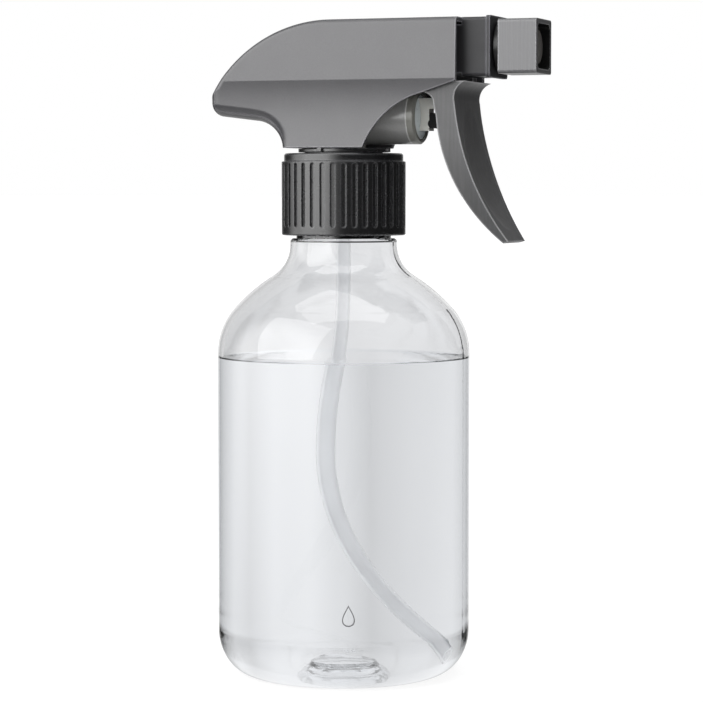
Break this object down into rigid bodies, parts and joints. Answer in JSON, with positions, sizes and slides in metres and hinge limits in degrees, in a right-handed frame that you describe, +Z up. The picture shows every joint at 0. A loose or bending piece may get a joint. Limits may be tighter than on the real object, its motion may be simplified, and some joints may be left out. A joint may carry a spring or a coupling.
{
  "type": "hand mister",
  "caption": "Trigger spray bottle: clear round bottle with water, ribbed screw collar, pump head with curved trigger and a square turning nozzle, fed by a dip tube.",
  "frame": {"origin": "centre of the flat ring that the bottle stands on", "axes": "+Z up along the bottle, +X the way it sprays, +Y to the left of someone holding it"},
  "size_m": [0.0885, 0.067, 0.1737],
  "materials": {
    "clear_bottle": "gloss",
    "water": "gloss",
    "black_plastic": "satin",
    "grey_pump": "satin",
    "seal_rubber": "matte",
    "milky_tube": "satin",
    "natural_plastic": "satin",
    "glass_ball": "gloss",
    "olive_plastic": "satin",
    "pale_plunger": "satin",
    "spring_steel": "polished",
    "grey_shroud": "satin",
    "dark_nose": "satin",
    "grey_trigger": "satin",
    "brushed_cap": "satin",
    "disc_plastic": "satin"
  },
  "bodies": {
    "bottle": {"bottle": "clear_bottle", "water_fill": "water"},
    "head": {"valve_body": "black_plastic", "pump_body": "grey_pump", "tube_retainer": "natural_plastic", "dip_tube": "milky_tube", "neck_gasket": "seal_rubber", "ball_cage": "natural_plastic", "vent_plug": "seal_rubber", "barrel_bush": "olive_plastic", "return_spring": "spring_steel", "nose_block": "dark_nose", "nose_plate": "dark_nose", "outlet_valve": "seal_rubber", "swirl_core": "natural_plastic", "nozzle_seal": "seal_rubber", "trigger_pin": "spring_steel", "shroud": "grey_shroud"},
    "collar": {"collar": "black_plastic"},
    "trigger": {"trigger": "grey_trigger", "trigger_bar": "black_plastic"},
    "piston": {"piston": "pale_plunger", "piston_cup": "seal_rubber", "piston_yoke": "olive_plastic"},
    "nozzle": {"nozzle_cap": "brushed_cap", "orifice_disc": "disc_plastic"},
    "ball": {"inlet_ball": "glass_ball"}
  },
  "joints": [
    {"name": "head_lift", "type": "slide", "parent": "bottle", "child": "head", "axis": [0, 0, 1], "range_m": [0, 0.00634]},
    {"name": "collar_turn", "type": "hinge", "parent": "head", "child": "collar", "pos_m": [0, 0, 0.128], "axis": [0, 0, 1], "range_deg": [0, 540]},
    {"name": "trigger_pull", "type": "hinge", "parent": "head", "child": "trigger", "pos_m": [0.0305, 0, 0.1606], "axis": [0, 1, 0], "range_deg": [0, 20], "stiffness_Nm_per_rad": 0.25, "springref_deg": -22.92},
    {"name": "piston_stroke", "type": "slide", "parent": "head", "child": "piston", "axis": [-1, 0, 0], "range_m": [0, 0.00468], "deforming": ["return_spring"]},
    {"name": "nozzle_turn", "type": "hinge", "parent": "head", "child": "nozzle", "pos_m": [0.05, 0, 0.1658], "axis": [1, 0, 0], "range_deg": [-90, 90]},
    {"name": "ball_lift", "type": "slide", "parent": "head", "child": "ball", "axis": [0, 0, 1], "range_m": [0, 0.001]}
  ],
  "couplings": [
    {"joint": "collar_turn", "follows": "head_lift", "rad_per_m": 1485.4},
    {"joint": "trigger_pull", "follows": "piston_stroke", "rad_per_m": 74.62}
  ]
}
